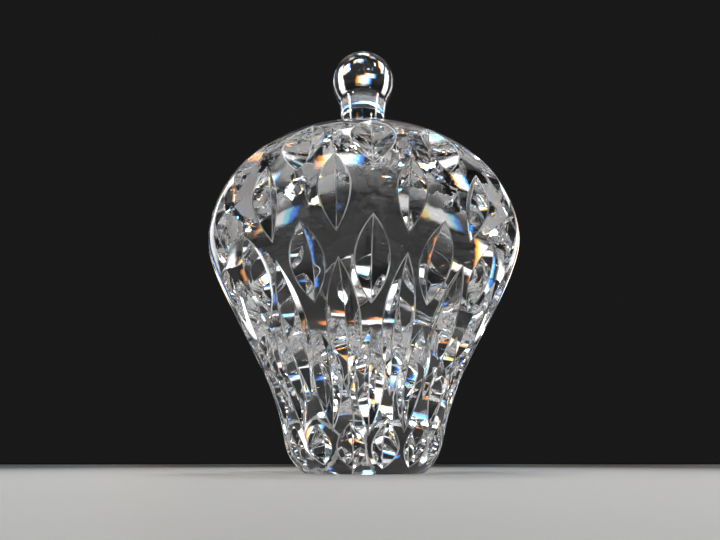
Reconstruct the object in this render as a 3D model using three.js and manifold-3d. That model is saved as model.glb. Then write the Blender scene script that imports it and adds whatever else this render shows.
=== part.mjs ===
// Crystal strawberry paperweight: a solid glass berry with wheel-cut seeds and a two-piece glass stem.
// Millimetres, +Z up. The ground foot rests on z = 0 and the axis of the berry is the Z axis.
import * as THREE from "three";
import { mergeVertices } from "three/addons/utils/BufferGeometryUtils.js";
import Module from "manifold-3d";

// Berry blank, the solid of glass before cutting
const footRadius = 12;
const bevelRadius = 16.2;
const bevelHeight = 6.6;
const bellyRadius = 35;
const bellyHeight = 47.5;
const crownHeight = 75.5;
const crownLedge = 1.0;

// How far the blank's curves keep to their first direction before they bend
const bevelPull = 4;
const waistPull = 12;
const waistLean = 0.15;
const bellyPullDown = 8;
const bellyPullUp = 15.5;
const crownPullOut = 16.5;
const crownPullDown = 5.8;

// Stem, two pieces of drawn glass: the neck stands on the crown and the knob on the neck
const neckBaseRadius = 5.3;
const neckTopRadius = 6.1;
const neckLength = 15.2;
const neckFlare = 5;
const knobRadius = 8.2;
const knobLength = 15.2;
const knobPull = 3.4;
const knobRise = 2.4;
const knobLean = 0.6;
const ringGroove = 0.4;

// Seeds, each one a pass of a mitre wheel along a meridian of the berry
const columns = 16;
const firstColumnTurn = -90;
const mitreHalfAngle = THREE.MathUtils.degToRad(55);
const leastSink = 0.3;
const wheelMargin = 1.2;

// Shoulder row: the broad seeds around the crown
const shoulderLength = 12.9;
const shoulderBottomAboveBelly = 2.2;
const shoulderDepth = 2.9;

// Upper row, across the belly
const upperTopAboveBelly = 4;
const upperBottomBelowBelly = 8.7;
const upperDepth = 2;

// Middle row, under the belly
const middleTopBelowBelly = 7;
const middleBottomBelowBelly = 19.6;
const middleDepth = 2.3;

// Long row, down the waist
const longTopBelowBelly = 12.8;
const longBottomAboveBevel = 6.9;
const longDepth = 2.1;

// Short row, at the narrow end of the waist
const shortTopBelowBelly = 23.6;
const shortBottomAboveBevel = 0.5;
const shortDepth = 1.9;

// Foot row, on the bevel
const footTopAboveBevel = 2;
const footBottomHeight = 1.2;
const footDepth = 1.9;

// Heights of the tips of each row, its depth, and its turn against the first row in columns
const seedRows = [
  {
    top: bellyHeight + shoulderBottomAboveBelly + shoulderLength,
    bottom: bellyHeight + shoulderBottomAboveBelly,
    depth: shoulderDepth,
    stagger: 0,
  },
  {
    top: bellyHeight + upperTopAboveBelly,
    bottom: bellyHeight - upperBottomBelowBelly,
    depth: upperDepth,
    stagger: 0.5,
  },
  {
    top: bellyHeight - middleTopBelowBelly,
    bottom: bellyHeight - middleBottomBelowBelly,
    depth: middleDepth,
    stagger: 0,
  },
  {
    top: bellyHeight - longTopBelowBelly,
    bottom: bevelHeight + longBottomAboveBevel,
    depth: longDepth,
    stagger: 0.5,
  },
  {
    top: bellyHeight - shortTopBelowBelly,
    bottom: bevelHeight + shortBottomAboveBevel,
    depth: shortDepth,
    stagger: 0,
  },
  {
    top: bevelHeight + footTopAboveBevel,
    bottom: footBottomHeight,
    depth: footDepth,
    stagger: 0.5,
  },
];

// Smoothness of the solids
const bodyTurns = 64;
const stemTurns = 32;
const curvePoints = 10;
const finePoints = 120;
const facetsPerSeed = 6;
const weldDistance = 1e-5;
const sliverHeight = 0.01;

const wasm = await Module();
wasm.setup();

// Outline of the blank from the edge of the foot to the edge of the crown: bevel, waist and dome
function blankOutline() {
  const crownRadius = neckBaseRadius + crownLedge;
  const path = new THREE.Path();
  path.moveTo(footRadius, 0);
  path.quadraticCurveTo(
    bevelRadius - bevelPull * waistLean, bevelHeight - bevelPull,
    bevelRadius, bevelHeight,
  );
  path.bezierCurveTo(
    bevelRadius + waistPull * waistLean, bevelHeight + waistPull,
    bellyRadius, bellyHeight - bellyPullDown,
    bellyRadius, bellyHeight,
  );
  path.bezierCurveTo(
    bellyRadius, bellyHeight + bellyPullUp,
    crownRadius + crownPullOut, crownHeight - crownPullDown,
    crownRadius, crownHeight,
  );
  return path;
}

// Profile points turned about the Z axis, closed on the axis at both ends
function turnedSolid(profile, segments) {
  const axisBottom = new THREE.Vector2(0, profile[0].y);
  const axisTop = new THREE.Vector2(0, profile[profile.length - 1].y);
  const geometry = new THREE.LatheGeometry([axisBottom, ...profile, axisTop], segments);
  return geometry.rotateX(Math.PI / 2);
}

function toManifold(geometry) {
  const bare = geometry.clone();
  bare.deleteAttribute("normal");
  bare.deleteAttribute("uv");
  const welded = mergeVertices(bare, weldDistance);
  const mesh = new wasm.Mesh({
    numProp: 3,
    vertProperties: new Float32Array(welded.attributes.position.array),
    triVerts: new Uint32Array(welded.index.array),
  });
  mesh.merge();
  return new wasm.Manifold(mesh);
}

function toGeometry(manifold) {
  const mesh = manifold.getMesh();
  const geometry = new THREE.BufferGeometry();
  geometry.setAttribute("position", new THREE.BufferAttribute(new Float32Array(mesh.vertProperties), 3));
  geometry.setIndex(new THREE.BufferAttribute(new Uint32Array(mesh.triVerts), 1));
  geometry.computeVertexNormals();
  return geometry;
}

// Point of an outline at a given height
function pointAtHeight(outline, height) {
  const above = Math.max(outline.findIndex((point) => point.y >= height), 1);
  const share = (height - outline[above - 1].y) / (outline[above].y - outline[above - 1].y);
  return outline[above - 1].clone().lerp(outline[above], share);
}

// The mitre wheel of one row: its rim passes through both tips of the seed and the deepest point of its
// crease, so the wheel's radius and its place follow from the blank, the row's heights and its depth.
function seedWheel(row, outline) {
  const bottom = pointAtHeight(outline, row.bottom);
  const top = pointAtHeight(outline, row.top);
  const chord = top.clone().sub(bottom);
  const along = chord.clone().normalize();
  const outward = new THREE.Vector2(along.y, -along.x);
  const middle = bottom.clone().add(top).multiplyScalar(0.5);
  const offMiddle = (point) => Math.abs(point.clone().sub(middle).dot(along));
  const crest = outline.reduce((best, point) => (offMiddle(point) < offMiddle(best) ? point : best));
  const bulge = crest.clone().sub(middle).dot(outward);
  const sink = Math.max(row.depth - bulge, leastSink);
  const radius = (chord.lengthSq() / 4 + sink * sink) / (2 * sink);
  const centre = middle.addScaledVector(outward, radius - sink);
  const halfWidth = row.depth * Math.tan(mitreHalfAngle) + wheelMargin;
  const shoulder = radius - halfWidth / Math.tan(mitreHalfAngle);
  const profile = [
    new THREE.Vector2(0, -halfWidth),
    new THREE.Vector2(shoulder, -halfWidth),
    new THREE.Vector2(radius, 0),
    new THREE.Vector2(shoulder, halfWidth),
    new THREE.Vector2(0, halfWidth),
  ];
  const segments = Math.ceil((2 * Math.PI * radius * facetsPerSeed) / chord.length());
  const wheel = new THREE.LatheGeometry(profile, segments);
  return wheel.translate(centre.x, 0, centre.y);
}

// The blank with every seed cut into it, row by row and column by column
function cutBody() {
  const path = blankOutline();
  const outline = path.getPoints(finePoints);
  let body = toManifold(turnedSolid(path.getPoints(curvePoints), bodyTurns));
  for (const row of seedRows) {
    const wheel = toManifold(seedWheel(row, outline));
    for (let column = 0; column < columns; column += 1) {
      const turn = firstColumnTurn + (360 * (column + row.stagger)) / columns;
      body = body.subtract(wheel.rotate([0, 0, turn]));
    }
  }
  return toGeometry(body.asOriginal().simplify(sliverHeight));
}

// Neck of the stem, a little wider towards the knob, with half of the ring groove at its top edge
function neckProfile() {
  const path = new THREE.Path();
  path.moveTo(neckBaseRadius, 0);
  path.quadraticCurveTo(neckBaseRadius, neckLength - neckFlare, neckTopRadius, neckLength - ringGroove);
  path.lineTo(neckTopRadius - ringGroove, neckLength);
  return path.getPoints(curvePoints);
}

// Knob of the stem, a pear-shaped drop of glass with the other half of the ring groove at its lower edge
function knobProfile() {
  const waist = knobLength / 2;
  const path = new THREE.Path();
  path.moveTo(neckTopRadius - ringGroove, 0);
  path.lineTo(neckTopRadius, ringGroove);
  path.bezierCurveTo(
    neckTopRadius + knobLean, ringGroove + knobRise,
    knobRadius, waist - knobPull,
    knobRadius, waist,
  );
  path.bezierCurveTo(knobRadius, waist + knobPull, knobRadius - knobPull, knobLength, 0, knobLength);
  return path.getPoints(curvePoints);
}

function crystal() {
  return new THREE.MeshStandardMaterial({
    color: 0xf3f6f7,
    roughness: 0.02,
    metalness: 0,
    transparent: true,
    opacity: 0.35,
  });
}

function addPiece(group, name, geometry, height) {
  const mesh = new THREE.Mesh(geometry, crystal());
  mesh.name = name;
  mesh.position.z = height;
  group.add(mesh);
}

const paperweight = new THREE.Group();
paperweight.name = "strawberry_paperweight";
addPiece(paperweight, "cut_body", cutBody(), 0);
addPiece(paperweight, "stem_neck", turnedSolid(neckProfile(), stemTurns), crownHeight);
addPiece(paperweight, "stem_knob", turnedSolid(knobProfile(), stemTurns), crownHeight + neckLength);

export default paperweight;
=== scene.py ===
# Crystal strawberry paperweight: the glass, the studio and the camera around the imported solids.
import math
import random
from typing import NamedTuple

import bmesh
import bpy
import numpy as np
from mathutils import Matrix, Vector


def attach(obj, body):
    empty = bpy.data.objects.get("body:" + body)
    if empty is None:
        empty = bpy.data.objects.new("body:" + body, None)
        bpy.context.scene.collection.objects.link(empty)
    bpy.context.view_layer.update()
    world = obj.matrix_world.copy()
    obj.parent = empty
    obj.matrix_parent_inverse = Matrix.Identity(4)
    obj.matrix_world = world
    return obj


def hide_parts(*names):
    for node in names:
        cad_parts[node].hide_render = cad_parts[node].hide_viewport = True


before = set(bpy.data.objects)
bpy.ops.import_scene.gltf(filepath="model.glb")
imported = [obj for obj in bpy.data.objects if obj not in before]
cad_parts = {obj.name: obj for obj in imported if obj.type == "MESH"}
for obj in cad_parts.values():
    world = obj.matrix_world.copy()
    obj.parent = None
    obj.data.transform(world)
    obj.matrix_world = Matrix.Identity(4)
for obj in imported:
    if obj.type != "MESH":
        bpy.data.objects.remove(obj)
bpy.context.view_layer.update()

MM = 0.001

# Berry blank in millimetres, as in the part's source
FOOT_RADIUS = 12.0
BEVEL_RADIUS = 16.2
BEVEL_HEIGHT = 6.6
BELLY_RADIUS = 35.0
BELLY_HEIGHT = 47.5
CROWN_RADIUS = 6.3
CROWN_HEIGHT = 75.5
BEVEL_PULL = 4.0
WAIST_PULL = 12.0
WAIST_LEAN = 0.15
BELLY_PULL_DOWN = 8.0
BELLY_PULL_UP = 15.5
CROWN_PULL_OUT = 16.5
CROWN_PULL_DOWN = 5.8

# Stem in millimetres, as in the part's source
NECK_BASE_RADIUS = 5.3
NECK_TOP_RADIUS = 6.1
NECK_LENGTH = 15.2
NECK_FLARE = 5.0
KNOB_RADIUS = 8.2
KNOB_LENGTH = 15.2
KNOB_PULL = 3.4
KNOB_RISE = 2.4
KNOB_LEAN = 0.6
RING_GROOVE = 0.4

# The stem's pieces reach this far into the glass below them, as if fused to it
FUSED_OVERLAP = 0.02

# Radius at which the knob's curve ends on a tiny flat
KNOB_POLE = 0.02

# Seeds in millimetres, as in the part's source
COLUMNS = 16
FIRST_COLUMN_TURN = -math.pi / 2.0
MITRE_HALF_ANGLE = math.radians(55.0)
SHOULDER_LENGTH = 12.9
SHOULDER_BOTTOM_ABOVE_BELLY = 2.2
SHOULDER_DEPTH = 2.9
UPPER_TOP_ABOVE_BELLY = 4.0
UPPER_BOTTOM_BELOW_BELLY = 8.7
UPPER_DEPTH = 2.0
MIDDLE_TOP_BELOW_BELLY = 7.0
MIDDLE_BOTTOM_BELOW_BELLY = 19.6
MIDDLE_DEPTH = 2.3
LONG_TOP_BELOW_BELLY = 12.8
LONG_BOTTOM_ABOVE_BEVEL = 6.9
LONG_DEPTH = 2.1
SHORT_TOP_BELOW_BELLY = 23.6
SHORT_BOTTOM_ABOVE_BEVEL = 0.5
SHORT_DEPTH = 1.9
FOOT_TOP_ABOVE_BEVEL = 2.0
FOOT_BOTTOM_HEIGHT = 1.2
FOOT_DEPTH = 1.9


class SeedRow(NamedTuple):
    """Heights of the tips of a row's seeds, the depth of their crease, and the row's turn in columns."""

    bottom: float
    top: float
    depth: float
    stagger: float


SEED_ROWS = [
    SeedRow(
        bottom=BELLY_HEIGHT + SHOULDER_BOTTOM_ABOVE_BELLY,
        top=BELLY_HEIGHT + SHOULDER_BOTTOM_ABOVE_BELLY + SHOULDER_LENGTH,
        depth=SHOULDER_DEPTH,
        stagger=0.0,
    ),
    SeedRow(
        bottom=BELLY_HEIGHT - UPPER_BOTTOM_BELOW_BELLY,
        top=BELLY_HEIGHT + UPPER_TOP_ABOVE_BELLY,
        depth=UPPER_DEPTH,
        stagger=0.5,
    ),
    SeedRow(
        bottom=BELLY_HEIGHT - MIDDLE_BOTTOM_BELOW_BELLY,
        top=BELLY_HEIGHT - MIDDLE_TOP_BELOW_BELLY,
        depth=MIDDLE_DEPTH,
        stagger=0.0,
    ),
    SeedRow(
        bottom=BEVEL_HEIGHT + LONG_BOTTOM_ABOVE_BEVEL,
        top=BELLY_HEIGHT - LONG_TOP_BELOW_BELLY,
        depth=LONG_DEPTH,
        stagger=0.5,
    ),
    SeedRow(
        bottom=BEVEL_HEIGHT + SHORT_BOTTOM_ABOVE_BEVEL,
        top=BELLY_HEIGHT - SHORT_TOP_BELOW_BELLY,
        depth=SHORT_DEPTH,
        stagger=0.0,
    ),
    SeedRow(
        bottom=FOOT_BOTTOM_HEIGHT,
        top=BEVEL_HEIGHT + FOOT_TOP_ABOVE_BEVEL,
        depth=FOOT_DEPTH,
        stagger=0.5,
    ),
]

# The cutter's hand: how far it strays from seed to seed, in millimetres, as a share of the depth and as
# an angle, the lowest height to which it cuts, and the number that fixes its strays
TIP_STRAY = 0.45
DEPTH_STRAY = 0.06
TURN_STRAY = math.radians(0.35)
LOWEST_TIP = 0.8
HAND_SEED = 11

# Softened rim between each seed and the blank, and the blunt crease of the seed, in millimetres
RIM_HALF_ANGLE = math.radians(73.0)
RIM_WIDTH = 0.13
RIM_FLAT = 0.02
CREASE_FLAT = 0.1

# How far the cutters reach out of the glass and past the tips of a seed, in millimetres, and the number
# of long edges that each one has
CUT_HEADROOM = 1.0
CUT_OVERRUN = 0.8
RIM_HEADROOM = 0.5
RIM_OVERRUN = 0.7
WEDGE_EDGES = 4

# Fineness of the meshes: steps around and along them, rounds in which a seed's edge is found, span over
# which the blank's slope is taken in millimetres, and the angle from which an edge of the stem is sharp
BODY_TURNS = 256
STEM_TURNS = 128
CURVE_STEPS = 40
SEED_STEPS = 22
EDGE_ROUNDS = 5
SLOPE_SPAN = 0.2
SHARP_ANGLE = math.radians(30.0)

# A face of the blank is one of its flat ends if it is this level and lies this near to the end
LEVEL_NORMAL = 0.999
END_DISTANCE = 0.01

# What a face of a seed is, in the order of its material numbers
FACE_KINDS = range(3)
FLANK, RIM, CREASE = FACE_KINDS

# Lead crystal
CRYSTAL_TINT = (0.985, 0.99, 1.0, 1.0)
CRYSTAL_IOR = 1.55
SEED_ROUGHNESS = 0.02

# Edges of the seeds with a painted highlight: partly white so that they show, and uneven as light is along
# a polished edge. The patches of painted highlight to the metre, their colours, and the levels of noise
# between which one turns into the other
EDGE_ROUGHNESS = 0.15
# Less clear than the rest of the glass, so that the painted white of the edges shows
EDGE_CLEARNESS = 0.4
EDGE_PAINTED_HIGHLIGHT_PATCHES = 200.0
EDGE_PAINTED_HIGHLIGHT_DIM = (0.25, 0.26, 0.27, 1.0)
EDGE_PAINTED_HIGHLIGHT_FULL = (1.0, 1.0, 1.0, 1.0)
EDGE_PAINTED_HIGHLIGHT_DIM_BELOW = 0.4
EDGE_PAINTED_HIGHLIGHT_FULL_ABOVE = 0.6

# Waves that hand work leaves in the glass: how many to the metre along each axis
BROAD_SPACING = (90.0, 90.0, 90.0)
FINE_SPACING = (400.0, 400.0, 400.0)
WHEEL_SPACING = (70.0, 70.0, 380.0)
WAVE_DETAIL = 2.0

# Waves of each glass: their spacing, and their height in millimetres
BERRY_WAVES = [(BROAD_SPACING, 0.1), (FINE_SPACING, 0.02)]
SEED_WAVES = [(WHEEL_SPACING, 0.05)]
EDGE_WAVES = [(FINE_SPACING, 0.05)]
NECK_WAVES = [(BROAD_SPACING, 0.2), (FINE_SPACING, 0.03)]
KNOB_WAVES = [(BROAD_SPACING, 0.45), (FINE_SPACING, 0.1)]

# Studio in metres: a pale floor with a painted pool of light around the object, whose painted fall-off
# fades into a dark room
FLOOR_RADIUS = 2.0
FLOOR_SIDES = 64
FLOOR_GAP = 0.0002
FLOOR_ROUGHNESS = 0.7
FLOOR_COLOUR = (0.5, 0.5, 0.49, 1.0)
# Painted fall-off of the light pool: the floor's colour turns to this dark between these distances from the
# object
PAINTED_FALLOFF_FLOOR_COLOUR = (0.02, 0.02, 0.02, 1.0)
LIGHT_POOL_FADE_START = 0.05
LIGHT_POOL_FADE_END = 0.22
ROOM_COLOUR = (0.01, 0.01, 0.01, 1.0)

# Point that the lamps are turned to, in metres
LIGHT_AIM = Vector((0.0, 0.0, 0.045))

# Colours of the lamps
BLACK = (0.0, 0.0, 0.0, 1.0)
RED = (1.0, 0.3, 0.05, 1.0)
AMBER = (1.0, 0.85, 0.3, 1.0)
WHITE = (1.0, 1.0, 1.0, 1.0)
SKY = (0.35, 0.9, 1.0, 1.0)
BLUE = (0.08, 0.3, 1.0, 1.0)

# Light of a soft box from one edge to the other: the place in its width, and the colour there.
# The coloured edges stand in for the colours into which real crystal spreads light.
PLAIN = [(0.0, BLACK), (0.3, WHITE), (0.7, WHITE), (1.0, BLACK)]
COLOURED = [
    (0.0, BLACK),
    (0.12, RED),
    (0.22, AMBER),
    (0.34, WHITE),
    (0.66, WHITE),
    (0.78, SKY),
    (0.88, BLUE),
    (1.0, BLACK),
]

# Camera: the photograph's side of the berry, from just above the floor
FOCAL_PIXELS = 493.5
FRAME_PIXELS = 720.0
SENSOR_WIDTH = 36.0
CAMERA_TURN = math.radians(-2.73)
CAMERA_PITCH = math.radians(21.29)
CAMERA_PLACE = Vector((-0.79, -106.5, 2.0)) * MM
CAMERA_NEAREST = 0.005

# Bounces that light needs to get through the cut glass
MOST_BOUNCES = 24
GLOSSY_BOUNCES = 16


def bezier(controls, steps):
    """Points along a curve given by its control points, without the first one."""
    result = []
    for step in range(1, steps + 1):
        level = [Vector(point) for point in controls]
        while len(level) > 1:
            level = [start.lerp(end, step / steps) for start, end in zip(level, level[1:])]
        result.append(level[0])
    return result


def blank_outline():
    """Radius and height from the edge of the foot to the edge of the crown."""
    bevel = (BEVEL_RADIUS, BEVEL_HEIGHT)
    belly = (BELLY_RADIUS, BELLY_HEIGHT)
    outline = [Vector((FOOT_RADIUS, 0.0))]
    outline += bezier([
        outline[0],
        (BEVEL_RADIUS - BEVEL_PULL * WAIST_LEAN, BEVEL_HEIGHT - BEVEL_PULL),
        bevel,
    ], CURVE_STEPS // 2)
    outline += bezier([
        bevel,
        (BEVEL_RADIUS + WAIST_PULL * WAIST_LEAN, BEVEL_HEIGHT + WAIST_PULL),
        (BELLY_RADIUS, BELLY_HEIGHT - BELLY_PULL_DOWN),
        belly,
    ], CURVE_STEPS)
    outline += bezier([
        belly,
        (BELLY_RADIUS, BELLY_HEIGHT + BELLY_PULL_UP),
        (CROWN_RADIUS + CROWN_PULL_OUT, CROWN_HEIGHT - CROWN_PULL_DOWN),
        (CROWN_RADIUS, CROWN_HEIGHT),
    ], CURVE_STEPS)
    return outline


OUTLINE = blank_outline()
OUTLINE_RADII = [point.x for point in OUTLINE]
OUTLINE_HEIGHTS = [point.y for point in OUTLINE]


def surface_point(height):
    """Point of the blank's outline at a height."""
    return Vector((float(np.interp(height, OUTLINE_HEIGHTS, OUTLINE_RADII)), height))


def surface_normal(height):
    """Outward normal of the blank in the meridian plane."""
    low = surface_point(max(height - SLOPE_SPAN, 0.0))
    high = surface_point(min(height + SLOPE_SPAN, CROWN_HEIGHT))
    along = (high - low).normalized()
    return Vector((along.y, -along.x))


def turned_mesh(name, outline, turns):
    """Closed mesh of an outline turned about Z, in metres."""
    vertices = []
    faces = []
    for radius, height in outline:
        for turn in range(turns):
            angle = 2.0 * math.pi * turn / turns
            vertices.append((radius * math.cos(angle) * MM, radius * math.sin(angle) * MM, height * MM))
    last_ring = len(outline) - 1
    for ring in range(last_ring):
        for turn in range(turns):
            here = ring * turns + turn
            beside = ring * turns + (turn + 1) % turns
            faces.append((here, beside, beside + turns, here + turns))
    for ring, faces_down in ((0, True), (last_ring, False)):
        centre = len(vertices)
        vertices.append((0.0, 0.0, outline[ring].y * MM))
        for turn in range(turns):
            here = ring * turns + turn
            beside = ring * turns + (turn + 1) % turns
            faces.append((centre, beside, here) if faces_down else (centre, here, beside))
    mesh = bpy.data.meshes.new(name)
    mesh.from_pydata(vertices, [], faces)
    mesh.update()
    return mesh


def swept_wedge(sections, turn):
    """Vertices and faces of a bar with four edges, swept through sections in the meridian plane at a turn.

    Each section has the two points of the groove's bed and then the two outside the glass, as
    a place in the plane and how far to the side of it. The first of every four faces is the bed.
    """
    vertices = []
    faces = []
    for section in sections:
        for place, side in section:
            vertices.append((
                (place.x * math.cos(turn) - side * math.sin(turn)) * MM,
                (place.x * math.sin(turn) + side * math.cos(turn)) * MM,
                place.y * MM,
            ))
    for step in range(len(sections) - 1):
        here = WEDGE_EDGES * step
        ahead = here + WEDGE_EDGES
        for edge in range(WEDGE_EDGES):
            next_edge = (edge + 1) % WEDGE_EDGES
            faces.append((ahead + edge, ahead + next_edge, here + next_edge, here + edge))
    last = WEDGE_EDGES * (len(sections) - 1)
    faces.append((0, 1, 2, 3))
    faces.append((last + 3, last + 2, last + 1, last))
    return vertices, faces


def wedge_section(bed, bed_half_width, outside, outside_half_width):
    """One section of a swept wedge, the same to both sides of its plane."""
    return (
        (bed, -bed_half_width),
        (bed, bed_half_width),
        (outside, outside_half_width),
        (outside, -outside_half_width),
    )


def circle_centre(first, second, third):
    """Centre of the circle through three points of a plane."""
    to_second = second - first
    to_third = third - first
    cross = 2.0 * (to_second.x * to_third.y - to_second.y * to_third.x)
    x = (to_third.y * to_second.length_squared - to_second.y * to_third.length_squared) / cross
    y = (to_second.x * to_third.length_squared - to_third.x * to_second.length_squared) / cross
    return first + Vector((x, y))


class Wheel:
    """A mitre wheel in the meridian plane at a given turn, whose rim runs through three points."""

    def __init__(self, bottom, crease, top, turn):
        self.centre = circle_centre(bottom, crease, top)
        self.radius = (bottom - self.centre).length
        self.turn = turn
        middle = self.angle_of(crease, 0.0)
        self.start = self.angle_of(bottom, middle)
        self.end = self.angle_of(top, middle)

    def angle_of(self, point, near):
        """Angle of a point around the axle, within half a turn of another angle."""
        angle = math.atan2(point.y - self.centre.y, point.x - self.centre.x)
        return near + math.remainder(angle - near, 2.0 * math.pi)

    def half_width(self, point):
        """Half the width of the cut at a point of its middle plane, less than nothing outside the wheel."""
        return CREASE_FLAT + (self.radius - (point - self.centre).length) * math.tan(MITRE_HALF_ANGLE)

    def wedge(self, depth):
        """The slice of the wheel that passes through the glass."""
        reach = depth + CUT_HEADROOM
        outside_half_width = CREASE_FLAT + reach * math.tan(MITRE_HALF_ANGLE)
        extra = math.copysign(CUT_OVERRUN / self.radius, self.end - self.start)
        sections = []
        for step in range(SEED_STEPS + 1):
            angle = self.start - extra + (self.end - self.start + 2.0 * extra) * step / SEED_STEPS
            spoke = Vector((math.cos(angle), math.sin(angle)))
            bed = self.centre + spoke * self.radius
            outside = bed - spoke * reach
            sections.append(wedge_section(bed, CREASE_FLAT, outside, outside_half_width))
        return swept_wedge(sections, self.turn)

    def rim_wedge(self, bottom, top):
        """A shallow groove along the seed whose flanks keep to the seed's edge and soften it.

        The roundness is how far the blank falls off to the side, for each square millimetre of the
        distance; the edge of the seed lies where the cut is as wide as that leaves it.
        """
        rim_tan = math.tan(RIM_HALF_ANGLE)
        sections = []
        for step in range(SEED_STEPS + 1):
            share = step / SEED_STEPS
            height = bottom.y - RIM_OVERRUN + (top.y - bottom.y + 2.0 * RIM_OVERRUN) * share
            crest = surface_point(max(height, 0.0))
            normal = surface_normal(crest.y)
            roundness = normal.x / (2.0 * crest.x)
            edge = self.half_width(crest)
            for _ in range(EDGE_ROUNDS):
                edge = self.half_width(crest - normal * edge * edge * roundness)
            outer = edge + RIM_WIDTH
            depth = outer / rim_tan + outer * abs(outer) * roundness
            outside_half_width = max(RIM_FLAT + (depth + RIM_HEADROOM) * rim_tan, 2.0 * RIM_FLAT)
            bed = crest - normal * depth
            outside = crest + normal * max(RIM_HEADROOM, RIM_FLAT - depth)
            sections.append(wedge_section(bed, RIM_FLAT, outside, outside_half_width))
        return swept_wedge(sections, self.turn)

    def axle(self):
        return np.array((-math.sin(self.turn), math.cos(self.turn), 0.0))

    def side(self, points):
        """How far points lie to the side of the wheel's middle plane."""
        return points @ self.axle()

    def glass_normals(self, points, flank):
        """Outward normals of the glass on the flanks that this wheel leaves, -1 or 1 for each point."""
        axle = self.axle()
        hub = np.array((
            self.centre.x * math.cos(self.turn),
            self.centre.x * math.sin(self.turn),
            self.centre.y,
        ))
        spoke = points - hub
        spoke -= (spoke @ axle)[:, None] * axle
        spoke /= np.linalg.norm(spoke, axis=1)[:, None]
        return -(math.cos(MITRE_HALF_ANGLE) * flank[:, None] * axle + math.sin(MITRE_HALF_ANGLE) * spoke)


def cut_seed(row, column, hand):
    """The wheel that cuts one seed, its slice in the glass, and the slice that softens the seed's rim."""
    bottom = surface_point(max(row.bottom + hand.uniform(-TIP_STRAY, TIP_STRAY), LOWEST_TIP))
    top = surface_point(row.top + hand.uniform(-TIP_STRAY, TIP_STRAY))
    depth = row.depth * (1.0 + hand.uniform(-DEPTH_STRAY, DEPTH_STRAY))
    turn = 2.0 * math.pi * (column + row.stagger) / COLUMNS + FIRST_COLUMN_TURN
    turn += hand.uniform(-TURN_STRAY, TURN_STRAY)
    chord = (top - bottom).normalized()
    outward = Vector((chord.y, -chord.x))
    middle = (bottom + top) / 2.0
    crest = min(OUTLINE, key=lambda point: abs((point - middle).dot(chord)))
    crest = middle + outward * (crest - middle).dot(outward)
    wheel = Wheel(bottom, crest - outward * depth, top, turn)
    return wheel, wheel.wedge(depth), wheel.rim_wedge(bottom, top)


def seed_slot(kind, row_index):
    """Material number, while the berry is cut, of one kind of face in one row; 0 is the blank."""
    return 1 + kind * len(SEED_ROWS) + row_index


def subtract_wedges(body, name, wedges, slot, bed_slot):
    """Adds a boolean cut of several wedges that don't touch each other, and returns its cutter."""
    vertices = []
    faces = []
    slots = []
    for wedge_vertices, wedge_faces in wedges:
        base = len(vertices)
        vertices += wedge_vertices
        for number, face in enumerate(wedge_faces):
            faces.append(tuple(base + corner for corner in face))
            slots.append(bed_slot if number % WEDGE_EDGES == 0 else slot)
    mesh = bpy.data.meshes.new(name)
    mesh.from_pydata(vertices, [], faces)
    for _ in range(max(slots) + 1):
        mesh.materials.append(None)
    mesh.polygons.foreach_set("material_index", slots)
    mesh.update()
    cutter = bpy.data.objects.new(name, mesh)
    bpy.context.scene.collection.objects.link(cutter)
    cut = body.modifiers.new(name, "BOOLEAN")
    cut.operation = "DIFFERENCE"
    cut.solver = "MANIFOLD"
    cut.material_mode = "INDEX"
    cut.object = cutter
    return cutter


def cut_blank():
    """The berry with all its seeds cut, as a triangle mesh, and the wheel of each seed by row and column.

    The material numbers of its faces say what they are: 0 is the blank, and seed_slot gives the
    others.
    """
    blank = turned_mesh("blank", OUTLINE, BODY_TURNS)
    for _ in range(1 + len(FACE_KINDS) * len(SEED_ROWS)):
        blank.materials.append(None)
    body = bpy.data.objects.new("blank", blank)
    bpy.context.scene.collection.objects.link(body)
    hand = random.Random(HAND_SEED)
    wheels = {}
    cutters = []
    for row_index, row in enumerate(SEED_ROWS):
        flank_slot = seed_slot(FLANK, row_index)
        rim_slot = seed_slot(RIM, row_index)
        crease_slot = seed_slot(CREASE, row_index)
        cut_wedges = []
        rim_wedges = []
        for column in range(COLUMNS):
            wheel, cut_wedge, rim_wedge = cut_seed(row, column, hand)
            wheels[row_index, column] = wheel
            cut_wedges.append(cut_wedge)
            rim_wedges.append(rim_wedge)
        for parity in (0, 1):
            name = f"rim_{row_index}_{parity}"
            cutters.append(subtract_wedges(body, name, rim_wedges[parity::2], rim_slot, rim_slot))
        for parity in (0, 1):
            name = f"cut_{row_index}_{parity}"
            cutters.append(subtract_wedges(body, name, cut_wedges[parity::2], flank_slot, crease_slot))
    evaluated = body.evaluated_get(bpy.context.evaluated_depsgraph_get())
    mesh = bpy.data.meshes.new_from_object(evaluated)
    for helper in cutters + [body]:
        data = helper.data
        bpy.data.objects.remove(helper)
        bpy.data.meshes.remove(data)
    triangles = bmesh.new()
    triangles.from_mesh(mesh)
    bmesh.ops.triangulate(triangles, faces=triangles.faces)
    triangles.to_mesh(mesh)
    triangles.free()
    return mesh, wheels


def blank_normals(points):
    """Outward normals of the turned blank at points in millimetres."""
    steps = np.diff(np.array([tuple(point) for point in OUTLINE]), axis=0)
    middles = np.array([(start.y + end.y) / 2.0 for start, end in zip(OUTLINE, OUTLINE[1:])])
    slopes = np.unwrap(np.arctan2(-steps[:, 0], steps[:, 1]))
    slope = np.interp(points[:, 2], middles, slopes)
    turn = np.arctan2(points[:, 1], points[:, 0])
    return np.stack((np.cos(slope) * np.cos(turn), np.cos(slope) * np.sin(turn), np.sin(slope)), axis=1)


def nearest_columns(centres, stagger):
    """Column of the seed that each point belongs to."""
    turns = np.arctan2(centres[:, 1], centres[:, 0]) - FIRST_COLUMN_TURN
    columns = turns / (2.0 * math.pi) * COLUMNS - stagger
    return np.rint(columns).astype(int) % COLUMNS


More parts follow.
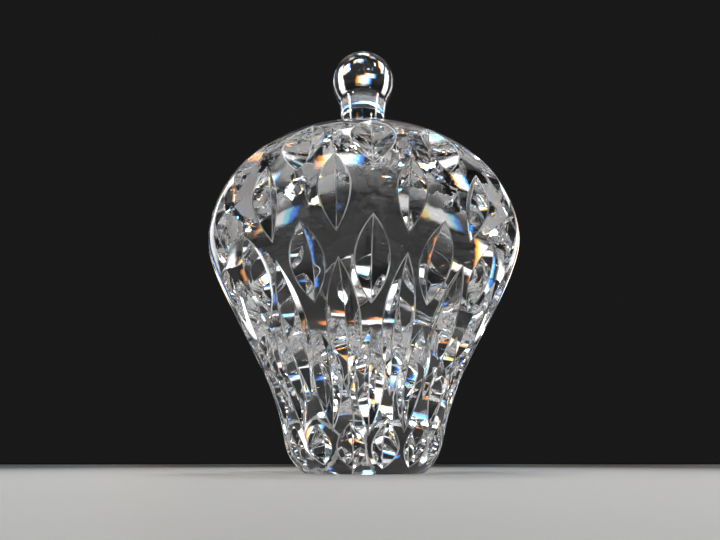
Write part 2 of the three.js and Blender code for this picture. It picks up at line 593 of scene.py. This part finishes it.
def polish_normals(mesh, wheels):
    """Exact shading normals: turned blank, conical flanks of the seeds, and softened rims between them.

    Afterwards the material numbers are 0 for the blank, 1 for the flanks, and 2 for rims and creases.
    """
    face_count = len(mesh.polygons)
    corners = np.empty(3 * face_count, int)
    mesh.loops.foreach_get("vertex_index", corners)
    corners = corners.reshape(-1, 3)
    places = np.empty(3 * len(mesh.vertices))
    mesh.vertices.foreach_get("co", places)
    places = places.reshape(-1, 3) / MM
    slots = np.empty(face_count, int)
    mesh.polygons.foreach_get("material_index", slots)
    flat = np.empty(3 * face_count)
    mesh.polygons.foreach_get("normal", flat)
    flat = flat.reshape(-1, 3)
    centres = places[corners].mean(axis=1)

    of_blank = slots == 0
    of_rim_or_crease = slots >= seed_slot(RIM, 0)
    of_flank = ~of_blank & ~of_rim_or_crease
    on_blank = np.zeros(len(places), bool)
    on_blank[corners[of_blank]] = True
    in_cut = np.zeros(len(places), bool)
    in_cut[corners[of_flank]] = True

    normals = np.repeat(flat[:, None, :], 3, axis=1)
    is_foot = (flat[:, 2] < -LEVEL_NORMAL) & (centres[:, 2] < END_DISTANCE)
    is_crown = (flat[:, 2] > LEVEL_NORMAL) & (centres[:, 2] > CROWN_HEIGHT - END_DISTANCE)
    turned = of_blank & ~is_foot & ~is_crown
    normals[turned] = blank_normals(places[corners[turned]].reshape(-1, 3)).reshape(-1, 3, 3)

    for kind in FACE_KINDS:
        for row_index, row in enumerate(SEED_ROWS):
            faces = np.nonzero(slots == seed_slot(kind, row_index))[0]
            columns = nearest_columns(centres[faces], row.stagger)
            for column in range(COLUMNS):
                seed = faces[columns == column]
                wheel = wheels[row_index, column]
                ids = corners[seed].reshape(-1)
                points = places[ids]
                flank = np.sign(np.repeat(wheel.side(centres[seed]), 3))
                if kind == CREASE:
                    flank = np.sign(wheel.side(points))
                result = wheel.glass_normals(points, flank)
                if kind == RIM:
                    outer = on_blank[ids][:, None]
                    inner = in_cut[ids][:, None]
                    between = ~(outer | inner)
                    result = (inner | between) * result + (outer | between) * blank_normals(points)
                result /= np.linalg.norm(result, axis=1)[:, None]
                normals[seed] = result.reshape(-1, 3, 3)
    mesh.polygons.foreach_set("use_smooth", np.ones(face_count, bool))
    mesh.normals_split_custom_set(normals.reshape(-1, 3).tolist())
    mesh.materials.clear()
    mesh.polygons.foreach_set("material_index", of_flank.astype(int) + 2 * of_rim_or_crease)


def neck_outline():
    """Radius and height of the neck, from below its foot to the groove of the ring."""
    foot = Vector((NECK_BASE_RADIUS, 0.0))
    outline = [Vector((NECK_BASE_RADIUS, -FUSED_OVERLAP)), foot]
    outline += bezier([
        foot,
        (NECK_BASE_RADIUS, NECK_LENGTH - NECK_FLARE),
        (NECK_TOP_RADIUS, NECK_LENGTH - RING_GROOVE),
    ], CURVE_STEPS)
    outline.append(Vector((NECK_TOP_RADIUS - RING_GROOVE, NECK_LENGTH)))
    return outline


def knob_outline():
    """Radius and height of the knob, from below the groove of the ring to the pole."""
    half = KNOB_LENGTH / 2.0
    groove_radius = NECK_TOP_RADIUS - RING_GROOVE
    ring = Vector((NECK_TOP_RADIUS, RING_GROOVE))
    outline = [
        Vector((groove_radius, -FUSED_OVERLAP)),
        Vector((groove_radius, 0.0)),
        ring,
    ]
    outline += bezier([
        ring,
        (NECK_TOP_RADIUS + KNOB_LEAN, RING_GROOVE + KNOB_RISE),
        (KNOB_RADIUS, half - KNOB_PULL),
        (KNOB_RADIUS, half),
    ], CURVE_STEPS)
    outline += bezier([
        (KNOB_RADIUS, half),
        (KNOB_RADIUS, half + KNOB_PULL),
        (KNOB_RADIUS - KNOB_PULL, KNOB_LENGTH),
        (KNOB_POLE, KNOB_LENGTH),
    ], CURVE_STEPS)
    return outline


def stem_mesh(name, outline):
    """Smooth turned mesh of a piece of the stem, with its edges kept sharp."""
    mesh = turned_mesh(name, outline, STEM_TURNS)
    mesh.polygons.foreach_set("use_smooth", np.ones(len(mesh.polygons), bool))
    mesh.set_sharp_from_angle(angle=SHARP_ANGLE)
    return mesh


def add_waves(material, spacing, height):
    """Adds waves to a material's surface: how many to the metre along each axis, and their height in mm."""
    nodes = material.node_tree.nodes
    links = material.node_tree.links
    shader = nodes["Principled BSDF"]
    place = nodes.new("ShaderNodeTexCoord")
    stretch = nodes.new("ShaderNodeMapping")
    stretch.inputs["Scale"].default_value = spacing
    noise = nodes.new("ShaderNodeTexNoise")
    noise.inputs["Scale"].default_value = 1.0
    noise.inputs["Detail"].default_value = WAVE_DETAIL
    bump = nodes.new("ShaderNodeBump")
    bump.inputs["Strength"].default_value = 1.0
    bump.inputs["Distance"].default_value = height * MM
    links.new(place.outputs["Object"], stretch.inputs["Vector"])
    links.new(stretch.outputs["Vector"], noise.inputs["Vector"])
    links.new(noise.outputs["Fac"], bump.inputs["Height"])
    for link in shader.inputs["Normal"].links:
        links.new(link.from_socket, bump.inputs["Normal"])
    links.new(bump.outputs["Normal"], shader.inputs["Normal"])


def glass(name, waves, roughness=0.0, clearness=1.0):
    """Lead crystal with waves in its surface; a clearness of 1 is quite clear."""
    material = bpy.data.materials.new(name)
    material.use_nodes = True
    shader = material.node_tree.nodes["Principled BSDF"]
    shader.inputs["Base Color"].default_value = CRYSTAL_TINT
    shader.inputs["Roughness"].default_value = roughness
    shader.inputs["IOR"].default_value = CRYSTAL_IOR
    shader.inputs["Transmission Weight"].default_value = clearness
    for spacing, height in waves:
        add_waves(material, spacing, height)
    return material


def painted_highlight_edge_glass():
    """Glass of the rims and creases, with a painted highlight whose brightness wanders along them."""
    material = glass("edge_crystal_painted_highlight", EDGE_WAVES, EDGE_ROUGHNESS, EDGE_CLEARNESS)
    nodes = material.node_tree.nodes
    links = material.node_tree.links
    place = nodes.new("ShaderNodeTexCoord")
    noise = nodes.new("ShaderNodeTexNoise")
    noise.inputs["Scale"].default_value = EDGE_PAINTED_HIGHLIGHT_PATCHES
    # The painted highlight: noise turns the edges' colour from dim grey to white in patches, as glints
    # along a polished edge
    levels = nodes.new("ShaderNodeValToRGB")
    dark, bright = levels.color_ramp.elements
    dark.position = EDGE_PAINTED_HIGHLIGHT_DIM_BELOW
    dark.color = EDGE_PAINTED_HIGHLIGHT_DIM
    bright.position = EDGE_PAINTED_HIGHLIGHT_FULL_ABOVE
    bright.color = EDGE_PAINTED_HIGHLIGHT_FULL
    links.new(place.outputs["Object"], noise.inputs["Vector"])
    links.new(noise.outputs["Fac"], levels.inputs["Fac"])
    links.new(levels.outputs["Color"], nodes["Principled BSDF"].inputs["Base Color"])
    return material


def add_piece(name, mesh, height, materials, node):
    """Puts a piece of glass in its place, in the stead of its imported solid."""
    piece = bpy.data.objects.new(name, mesh)
    piece.location = (0.0, 0.0, height * MM)
    bpy.context.scene.collection.objects.link(piece)
    for material in materials:
        mesh.materials.append(material)
    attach(piece, "root")
    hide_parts(node)


def add_berry():
    mesh, wheels = cut_blank()
    polish_normals(mesh, wheels)
    mesh.name = "berry"
    materials = [
        glass("berry_crystal", BERRY_WAVES),
        glass("seed_crystal", SEED_WAVES, SEED_ROUGHNESS),
        painted_highlight_edge_glass(),
    ]
    add_piece("berry", mesh, 0.0, materials, "cut_body")


def add_stem():
    neck_glass = glass("neck_crystal", NECK_WAVES)
    neck = stem_mesh("neck", neck_outline())
    add_piece("neck", neck, CROWN_HEIGHT, [neck_glass], "stem_neck")
    knob_glass = glass("knob_crystal", KNOB_WAVES)
    knob = stem_mesh("knob", knob_outline())
    add_piece("knob", knob, CROWN_HEIGHT + NECK_LENGTH, [knob_glass], "stem_knob")


def painted_light_pool_floor_material():
    """A painted pool of light: pale around the object, and darker with the distance from it as painted
    fall-off.
    """
    material = bpy.data.materials.new("pale_floor_painted_light_pool")
    material.use_nodes = True
    nodes = material.node_tree.nodes
    links = material.node_tree.links
    shader = nodes["Principled BSDF"]
    shader.inputs["Roughness"].default_value = FLOOR_ROUGHNESS
    place = nodes.new("ShaderNodeTexCoord")
    distance = nodes.new("ShaderNodeVectorMath")
    distance.operation = "LENGTH"
    # Painted fall-off of the light: the floor's colour turns from pale to dark with the distance from the
    # object
    fade = nodes.new("ShaderNodeMapRange")
    fade.interpolation_type = "SMOOTHSTEP"
    fade.inputs["From Min"].default_value = LIGHT_POOL_FADE_START
    fade.inputs["From Max"].default_value = LIGHT_POOL_FADE_END
    colour = nodes.new("ShaderNodeMixRGB")
    colour.inputs["Color1"].default_value = FLOOR_COLOUR
    colour.inputs["Color2"].default_value = PAINTED_FALLOFF_FLOOR_COLOUR
    links.new(place.outputs["Object"], distance.inputs[0])
    links.new(distance.outputs["Value"], fade.inputs["Value"])
    links.new(fade.outputs["Result"], colour.inputs["Fac"])
    links.new(colour.outputs["Color"], shader.inputs["Base Color"])
    return material


def add_floor():
    corners = []
    for side in range(FLOOR_SIDES):
        angle = 2.0 * math.pi * side / FLOOR_SIDES
        corners.append((FLOOR_RADIUS * math.cos(angle), FLOOR_RADIUS * math.sin(angle), -FLOOR_GAP))
    mesh = bpy.data.meshes.new("floor")
    mesh.from_pydata(corners, [], [tuple(range(FLOOR_SIDES))])
    mesh.materials.append(painted_light_pool_floor_material())
    floor = bpy.data.objects.new("floor", mesh)
    bpy.context.scene.collection.objects.link(floor)


def add_room():
    world = bpy.data.worlds.new("studio")
    bpy.context.scene.world = world
    world.use_nodes = True
    world.node_tree.nodes["Background"].inputs["Color"].default_value = ROOM_COLOUR


def edge_ramp(nodes, stops):
    """A colour ramp that runs smoothly through the given places and colours."""
    node = nodes.new("ShaderNodeValToRGB")
    ramp = node.color_ramp
    ramp.interpolation = "EASE"
    while len(ramp.elements) < len(stops):
        ramp.elements.new(0.5)
    for element, (place, colour) in zip(ramp.elements, stops):
        element.position = place
        element.color = colour
    return node


def soft_box(name, toward, away, size, brightness, edges=COLOURED):
    """A lamp with soft edges, turned to the berry.

    It stands toward an azimuth and an elevation in degrees, with the camera's side at azimuth 0,
    and is so many metres away; its size is its width and height in metres. The brightness is that
    of its middle, where 1 is white.
    """
    azimuth, elevation = toward
    width, height = size
    lamp = bpy.data.lights.new(name, "AREA")
    lamp.shape = "RECTANGLE"
    lamp.size = width
    lamp.size_y = height
    lamp.energy = brightness * math.pi * width * height
    lamp.use_nodes = True
    nodes = lamp.node_tree.nodes
    links = lamp.node_tree.links
    place = nodes.new("ShaderNodeNewGeometry")
    parts = nodes.new("ShaderNodeSeparateXYZ")
    across = edge_ramp(nodes, edges)
    upward = edge_ramp(nodes, PLAIN)
    links.new(place.outputs["Parametric"], parts.inputs["Vector"])
    links.new(parts.outputs["X"], across.inputs["Fac"])
    links.new(parts.outputs["Y"], upward.inputs["Fac"])
    links.new(across.outputs["Color"], nodes["Emission"].inputs["Color"])
    links.new(upward.outputs["Color"], nodes["Emission"].inputs["Strength"])
    side = math.radians(azimuth)
    rise = math.radians(elevation)
    direction = Vector((math.cos(rise) * math.sin(side), -math.cos(rise) * math.cos(side), math.sin(rise)))
    box = bpy.data.objects.new(name, lamp)
    box.rotation_euler = direction.to_track_quat("Z", "Y").to_euler()
    box.location = LIGHT_AIM + direction * away
    box.visible_camera = False
    bpy.context.scene.collection.objects.link(box)


def add_lamps():
    # Above the berry and behind its sides
    soft_box("top_box", toward=(0, 86), away=0.6, size=(0.22, 0.2), brightness=12, edges=PLAIN)
    soft_box("left_rim_box", toward=(-135, 25), away=0.7, size=(0.19, 0.7), brightness=2.6, edges=PLAIN)
    soft_box("right_rim_box", toward=(135, 25), away=0.7, size=(0.19, 0.7), brightness=2.6, edges=PLAIN)

    # In front of it and beside it
    soft_box("key_box", toward=(-20, 44), away=0.6, size=(0.32, 0.17), brightness=18)
    soft_box("right_front_box", toward=(28, 18), away=0.75, size=(0.16, 0.17), brightness=6)
    for name, azimuth in (("left_side_box", -72), ("right_side_box", 68)):
        soft_box(name, toward=(azimuth, 30), away=0.7, size=(0.16, 0.25), brightness=18)

    # Behind it, seen through the glass
    soft_box("high_back_box", toward=(-182, 39), away=0.6, size=(0.22, 0.1), brightness=1.3)
    soft_box("middle_back_box", toward=(-172, 35), away=0.6, size=(0.19, 0.06), brightness=1.3)
    for name, toward in (("right_back_box", (150, 20)), ("left_back_box", (-152, 12))):
        soft_box(name, toward, away=0.6, size=(0.145, 0.2), brightness=3)
    for name, azimuth in (("low_right_back_box", -168), ("low_left_back_box", 158)):
        soft_box(name, toward=(azimuth, 0.5), away=0.6, size=(0.145, 0.1), brightness=0.7)

    # Small and bright, for the glints in the seeds
    for name, toward in (("left_glint_box", (-48, 26)), ("right_glint_box", (42, 40))):
        soft_box(name, toward, away=0.6, size=(0.065, 0.055), brightness=45)
    soft_box("low_glint_box", toward=(12, 20), away=0.6, size=(0.065, 0.055), brightness=26)


def add_camera():
    data = bpy.data.cameras.new("camera")
    data.sensor_fit = "HORIZONTAL"
    data.sensor_width = SENSOR_WIDTH
    data.lens = FOCAL_PIXELS / FRAME_PIXELS * SENSOR_WIDTH
    data.clip_start = CAMERA_NEAREST
    camera = bpy.data.objects.new("camera", data)
    turn = Matrix.Rotation(CAMERA_TURN, 4, "Z")
    tilt = Matrix.Rotation(math.pi / 2.0 + CAMERA_PITCH, 4, "X")
    camera.matrix_world = turn @ Matrix.Translation(CAMERA_PLACE) @ tilt
    bpy.context.scene.collection.objects.link(camera)
    bpy.context.scene.camera = camera


add_berry()
add_stem()
add_floor()
add_room()
add_lamps()
add_camera()

bpy.context.scene.view_settings.view_transform = "Standard"
bpy.context.scene.cycles.max_bounces = MOST_BOUNCES
bpy.context.scene.cycles.glossy_bounces = GLOSSY_BOUNCES
bpy.context.scene.cycles.transmission_bounces = MOST_BOUNCES
